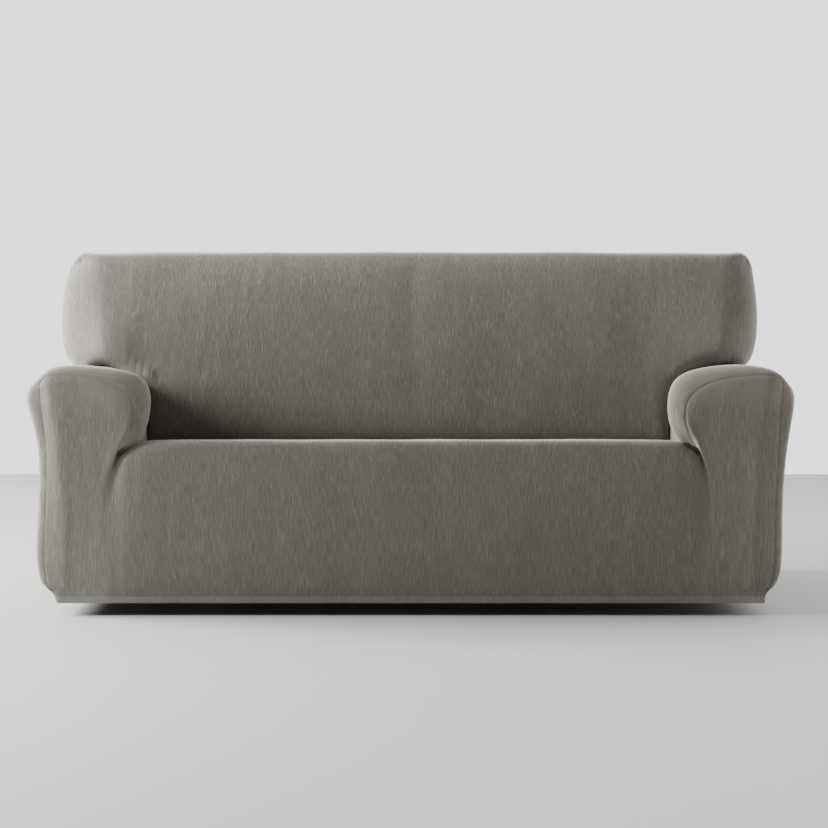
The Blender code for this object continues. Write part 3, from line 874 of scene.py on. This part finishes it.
def seam_shifts(positions, normals, edges, gap):
    """How far each vertex on a panel's seams draws back into the panel, to leave half of the gap there."""
    total = np.zeros_like(positions)
    count = np.zeros(len(positions))
    start, end = edges[:, 0], edges[:, 1]
    normal = normals[start] + normals[end]
    inward = np.cross(normal, positions[end] - positions[start])
    inward /= np.linalg.norm(inward, axis=1)[:, None]
    for vertices in (start, end):
        np.add.at(total, vertices, inward)
        np.add.at(count, vertices, 1.0)
    spread = (total**2).sum(axis=1) / np.maximum(count, 1.0)
    return total * (gap / 2 / np.maximum(spread, LEAST_SEAM_SPREAD))[:, None]


def directed_edges(quads):
    """Every edge of the quads as a row (start, end), in the order of their corners."""
    return np.stack([quads, np.roll(quads, -1, axis=1)], axis=2).reshape(-1, 2)


def open_edges(quads, vertex_count):
    """Which of the quads' directed edges have no quad on their other side."""
    start, end = directed_edges(quads).astype(np.int64).T
    return ~np.isin(end * vertex_count + start, start * vertex_count + end)


def cut_panel(name, cloth):
    """One panel cut from the shaped surface, with its thickness and closed edges, as a new mesh."""
    positions, normals, all_quads, panels, places = surface_arrays(bpy.data.meshes[SURFACE_NAME])
    mine = panels == PANELS.index(name)
    at_hem = open_edges(all_quads, len(positions)).reshape(-1, 4)[mine].ravel()
    quads, places = all_quads[mine], places[mine]
    rim = open_edges(quads, len(positions))
    shifts = seam_shifts(positions, normals, directed_edges(quads)[rim & ~at_hem], cloth.seam_gap)
    used, quads = np.unique(quads, return_inverse=True)
    quads = quads.reshape(-1, 4)
    outer = positions[used] + shifts[used]
    inner = outer - normals[used] * cloth.thickness
    start, end = directed_edges(quads)[rim].T
    rim_places = np.stack([places, np.roll(places, -1, axis=1)], axis=2).reshape(-1, 2, 2)[rim]
    rim_quads = np.stack([end, start, start + len(used), end + len(used)], axis=1)
    faces = np.concatenate([quads, quads[:, ::-1] + len(used), rim_quads])
    cloth_places = np.concatenate([places, places[:, ::-1], rim_places[:, [1, 0, 0, 1]]])
    data = bpy.data.meshes.new(name)
    data.from_pydata(np.concatenate([outer, inner]).tolist(), [], faces.tolist())
    data.uv_layers.new(name=UV_NAME)
    data.uv_layers[UV_NAME].uv.foreach_set("vector", cloth_places.astype(np.float32).ravel())
    # Shares of the crinkles kept, of slack and of hem; the material also paints its highlights by them
    shares = {CRINKLE_NAME: crinkle_and_highlight_share, SLACK_NAME: slack_and_highlight_share, HEM_NAME: hem_and_highlight_share}
    for share_name, share_of in shares.items():
        attribute = data.attributes.new(share_name, "FLOAT", "POINT")
        attribute.data.foreach_set("value", np.tile(share_of(outer), 2).astype(np.float32))
    return data


def make_panel(context, name):
    """Cut one panel, give it its cloth and put it in place of its solid."""
    cloth = context.scene.slipcover_cloth
    data = cut_panel(name, cloth)
    data.materials.append(stretch_knit(cloth))
    piece = bpy.data.objects.new(f"{name}_cloth", data)
    context.scene.collection.objects.link(piece)
    triangles = 2 * len(data.polygons)
    if triangles > MOST_TRIANGLES:
        thinning = piece.modifiers.new("Thinning", "DECIMATE")
        thinning.ratio = MOST_TRIANGLES / triangles
    for other in context.selected_objects:
        other.select_set(False)
    piece.select_set(True)
    context.view_layer.objects.active = piece
    bpy.ops.object.shade_smooth_by_angle(angle=math.radians(SHARP_ANGLE))
    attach(piece, "root")
    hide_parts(name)
    return piece


def add_node(tree, kind, inputs=None, **settings):
    """A node of a material with its settings, and its inputs set to values or linked to sockets."""
    node = tree.nodes.new(kind)
    for name, value in settings.items():
        setattr(node, name, value)
    for name, value in (inputs or {}).items():
        if isinstance(value, bpy.types.NodeSocket):
            tree.links.new(value, node.inputs[name])
        else:
            node.inputs[name].default_value = value
    return node


def math_node(tree, operation, *values):
    """The result of one operation on values or sockets."""
    return add_node(tree, "ShaderNodeMath", dict(enumerate(values)), operation=operation).outputs["Value"]


def mixed(tree, share, first, second):
    """A share of the second value mixed into the first."""
    return add_node(tree, "ShaderNodeMix", {0: share, 2: first, 3: second}).outputs[0]


def faded(tree, value, between, low=0.0, high=1.0):
    """A smooth change from one level to another while a value runs between two bounds."""
    span = {"From Min": between[0], "From Max": between[1], "To Min": low, "To Max": high}
    change = add_node(tree, "ShaderNodeMapRange", {"Value": value, **span}, interpolation_type="SMOOTHSTEP")
    return change.outputs["Result"]


def cloth_share(tree, name):
    """A share that the cloth's vertices carry."""
    return add_node(tree, "ShaderNodeAttribute", attribute_name=name).outputs["Fac"]


def streaks(tree, cloth_place, cloth, grain):
    """Noise stretched along the cloth into the streaks of one grain."""
    scale = (1.0 / (cloth.streak_width * grain.width), 1.0 / (cloth.streak_length * grain.length), 1.0)
    spaced = add_node(tree, "ShaderNodeMapping", {"Vector": cloth_place, "Scale": scale}).outputs["Vector"]
    look = {"Vector": spaced, "Scale": 1.0, "Detail": grain.detail, "Distortion": grain.waviness}
    return add_node(tree, "ShaderNodeTexNoise", look, noise_dimensions="2D").outputs["Fac"]


def long_crinkles(tree, cloth_place, cloth):
    """Crisp, wavy crinkles that stand alone: 1 along their crests and 0 between them."""
    wandering = streaks(tree, cloth_place, cloth, LONG_CRINKLES)
    from_crest = math_node(tree, "ABSOLUTE", math_node(tree, "SUBTRACT", wandering, GRAIN_MIDDLE))
    crests = faded(tree, from_crest, (0.0, LONG_SPREAD), 1.0, 0.0)
    areas = faded(tree, streaks(tree, cloth_place, cloth, LONG_CRINKLE_AREAS), LONG_APPEAR)
    return math_node(tree, "MULTIPLY", crests, areas)


def stretch_knit(cloth):
    """Matt stretch knit in mottled warm grey, with fine raised crinkles along the cloth, and a painted
    highlight over the arms' rolls, their fronts and the hem.
    """
    name = "crinkled_stretch_knit"
    if name in bpy.data.materials:
        return bpy.data.materials[name]
    material = bpy.data.materials.new(name)
    material.use_nodes = True
    tree = material.node_tree
    shader = tree.nodes["Principled BSDF"]
    cloth_place = add_node(tree, "ShaderNodeUVMap", uv_map=UV_NAME).outputs["UV"]
    slack, hem, kept = (cloth_share(tree, share) for share in (SLACK_NAME, HEM_NAME, CRINKLE_NAME))

    # Crinkles: finer where the cloth is tight, with long ones here and there
    fine = streaks(tree, cloth_place, cloth, FINE_CRINKLES)
    coarse = streaks(tree, cloth_place, cloth, SLACK_CRINKLES)
    crinkles = mixed(tree, slack, fine, coarse)
    lines = long_crinkles(tree, cloth_place, cloth)
    relief = math_node(tree, "MULTIPLY_ADD", lines, LONG_HEIGHT, crinkles)

    # Painted highlight: paler over the arms' rolls, on their fronts and on the hem. Smoother over the rolls
    # and on the hem
    painted_highlight = math_node(tree, "MULTIPLY_ADD", kept, -ROLL_PAINTED_HIGHLIGHT, 1.0 + ROLL_PAINTED_HIGHLIGHT)
    painted_highlight = math_node(tree, "MULTIPLY_ADD", slack, SLACK_PAINTED_HIGHLIGHT, painted_highlight)
    painted_highlight = math_node(tree, "MULTIPLY_ADD", hem, HEM_PAINTED_HIGHLIGHT, painted_highlight)
    kept = math_node(tree, "MULTIPLY", kept, math_node(tree, "MULTIPLY_ADD", hem, -HEM_CRINKLE, 1.0))

    # Tone: lighter on the crinkles, and mottled in patches
    patches = streaks(tree, cloth_place, cloth, MOTTLE_PATCHES)
    tone = math_node(tree, "MULTIPLY_ADD", lines, LONG_TONE, crinkles)
    tone = math_node(tree, "MULTIPLY_ADD", patches, PATCH_TONE, tone)
    tone = math_node(tree, "SUBTRACT", tone, GRAIN_MIDDLE * (1.0 + PATCH_TONE))
    tone = math_node(tree, "MULTIPLY_ADD", tone, kept, MIDDLE_TONE)
    ramp = add_node(tree, "ShaderNodeValToRGB", {"Fac": tone})
    stops = ramp.color_ramp.elements
    stops.new(YARN_TONES[1])
    yarns = (cloth.shade_yarn, cloth.ground_yarn, cloth.crest_yarn)
    for stop, position, yarn in zip(stops, YARN_TONES, yarns):
        stop.position = position
        stop.color = (*yarn, 1.0)
    # The knit's colour scaled up by the painted highlight
    with_painted_highlight = {"Vector": ramp.outputs["Color"], "Scale": painted_highlight}
    color = add_node(tree, "ShaderNodeVectorMath", with_painted_highlight, operation="SCALE")
    height = math_node(tree, "MULTIPLY", relief, kept)
    raised = {"Height": height, "Strength": 1.0, "Distance": cloth.crinkle_height}
    bump = add_node(tree, "ShaderNodeBump", raised)
    tree.links.new(color.outputs["Vector"], shader.inputs["Base Color"])
    tree.links.new(bump.outputs["Normal"], shader.inputs["Normal"])
    shader.inputs["Roughness"].default_value = 0.92
    shader.inputs["Metallic"].default_value = 0.0
    shader.inputs["Specular IOR Level"].default_value = 0.25
    shader.inputs["Sheen Weight"].default_value = 0.25
    shader.inputs["Sheen Roughness"].default_value = 0.5
    return material


class SLIPCOVER_OT_shape_cloth(bpy.types.Operator):
    """Shape one stretched surface over the sofa, with its folds and seams, for the panels to be cut from"""

    bl_idname = "slipcover.shape_cloth"
    bl_label = "Shape the cloth"

    def execute(self, context):
        cloth = context.scene.slipcover_cloth
        shape_cloth(smooth_surface(build_cage(), cloth.fineness), cloth)
        return {"FINISHED"}


class SLIPCOVER_OT_seat_and_front(bpy.types.Operator):
    """Cut the panel that covers the seat, the front and the arms' fronts"""

    bl_idname = "slipcover.seat_and_front"
    bl_label = "Seat and front"

    def execute(self, context):
        make_panel(context, "seat_and_front")
        return {"FINISHED"}


class SLIPCOVER_OT_arms(bpy.types.Operator):
    """Cut the two panels that cover the arms and the outer sides"""

    bl_idname = "slipcover.arms"
    bl_label = "Arms"

    def execute(self, context):
        make_panel(context, "left_arm")
        make_panel(context, "right_arm")
        return {"FINISHED"}


class SLIPCOVER_OT_inside_back(bpy.types.Operator):
    """Cut the panel that covers the front of the back, its wings and its top"""

    bl_idname = "slipcover.inside_back"
    bl_label = "Inside back"

    def execute(self, context):
        make_panel(context, "inside_back")
        return {"FINISHED"}


class SLIPCOVER_OT_outside_back(bpy.types.Operator):
    """Cut the plain panel that covers the rear"""

    bl_idname = "slipcover.outside_back"
    bl_label = "Outside back"

    def execute(self, context):
        make_panel(context, "outside_back")
        return {"FINISHED"}


class SLIPCOVER_OT_stage(bpy.types.Operator):
    """Lay the floor and set the light and the camera"""

    bl_idname = "slipcover.stage"
    bl_label = "Stage"

    def execute(self, context):
        stage = context.scene.slipcover_stage
        add_floor(stage)
        add_light(context, stage)
        add_camera(context, stage)
        return {"FINISHED"}


def add_floor(stage):
    """A plain pale floor."""
    bpy.ops.mesh.primitive_plane_add(size=stage.floor_size, location=(0.0, 0.0, -FLOOR_BELOW_TOP))
    floor = bpy.context.object
    floor.name = "floor"
    material = bpy.data.materials.new("pale_floor")
    material.use_nodes = True
    shader = material.node_tree.nodes["Principled BSDF"]
    shader.inputs["Base Color"].default_value = (*stage.floor_color, 1.0)
    shader.inputs["Roughness"].default_value = 0.7
    floor.data.materials.append(material)


def add_light(context, stage):
    """A pale wall behind the cover, a dimmer room in front of it, and a broad window close on the left."""
    world = bpy.data.worlds.new("room")
    world.use_nodes = True
    tree = world.node_tree
    direction = add_node(tree, "ShaderNodeTexCoord").outputs["Generated"]
    facing = add_node(tree, "ShaderNodeSeparateXYZ", {"Vector": direction}).outputs
    light = faded(tree, facing["Y"], WALL_TURN, stage.room_light, stage.wall_light)
    light = math_node(tree, "MULTIPLY", light, faded(tree, facing["Z"], CEILING_TURN, 1.0, CEILING_SHARE))
    light = math_node(tree, "MULTIPLY", light, faded(tree, facing["Z"], GROUND_TURN, GROUND_SHARE, 1.0))
    tree.links.new(light, tree.nodes["Background"].inputs["Color"])
    context.scene.world = world
    for lamp in LAMPS:
        add_lamp(context, lamp, getattr(stage, lamp.power))


def add_lamp(context, lamp, power):
    """A rectangular soft light at its place, turned to its target."""
    light = bpy.data.lights.new(lamp.name, "AREA")
    light.shape = "RECTANGLE"
    light.size, light.size_y = lamp.size
    light.energy = power
    location, target = place(*lamp.location), place(*lamp.target)
    source = bpy.data.objects.new(lamp.name, light)
    source.location = location
    source.rotation_euler = (target - location).to_track_quat("-Z", "Y").to_euler()
    source.visible_camera = False
    context.scene.collection.objects.link(source)


def add_camera(context, stage):
    """A level camera in front of the cover."""
    data = bpy.data.cameras.new("camera")
    data.sensor_width = SENSOR_WIDTH
    data.lens = LENS
    data.shift_x, data.shift_y = VIEW_SHIFT
    camera = bpy.data.objects.new("camera", data)
    camera.location = place(0.0, -stage.camera_distance, stage.camera_height)
    camera.rotation_euler = (math.radians(90.0), 0.0, 0.0)
    context.scene.collection.objects.link(camera)
    context.scene.camera = camera


class SLIPCOVER_PT_panel(bpy.types.Panel):
    """The cover's pieces, sizes and colours"""

    bl_idname = "SLIPCOVER_PT_panel"
    bl_label = "Slipcover"
    bl_space_type = "VIEW_3D"
    bl_region_type = "UI"
    bl_category = "Slipcover"

    def draw(self, context):
        for group in (context.scene.slipcover_cloth, context.scene.slipcover_stage):
            box = self.layout.box()
            for name in group.__annotations__:
                box.prop(group, name)
        for operator in OPERATORS:
            self.layout.operator(operator.bl_idname)


OPERATORS = (
    SLIPCOVER_OT_shape_cloth,
    SLIPCOVER_OT_seat_and_front,
    SLIPCOVER_OT_arms,
    SLIPCOVER_OT_inside_back,
    SLIPCOVER_OT_outside_back,
    SLIPCOVER_OT_stage,
)
CLASSES = (SlipcoverCloth, SlipcoverStage, *OPERATORS, SLIPCOVER_PT_panel)


def register():
    """Add the cover's classes and its settings to Blender."""
    for class_ in CLASSES:
        bpy.utils.register_class(class_)
    bpy.types.Scene.slipcover_cloth = bpy.props.PointerProperty(type=SlipcoverCloth)
    bpy.types.Scene.slipcover_stage = bpy.props.PointerProperty(type=SlipcoverStage)


def unregister():
    """Take the cover's settings and classes out of Blender."""
    del bpy.types.Scene.slipcover_stage
    del bpy.types.Scene.slipcover_cloth
    for class_ in reversed(CLASSES):
        bpy.utils.unregister_class(class_)


def main():
    """Make the cover and its stage."""
    register()
    bpy.ops.slipcover.shape_cloth()
    bpy.ops.slipcover.seat_and_front()
    bpy.ops.slipcover.arms()
    bpy.ops.slipcover.inside_back()
    bpy.ops.slipcover.outside_back()
    bpy.ops.slipcover.stage()
    bpy.data.meshes.remove(bpy.data.meshes[SURFACE_NAME])


if __name__ == "__main__":
    main()
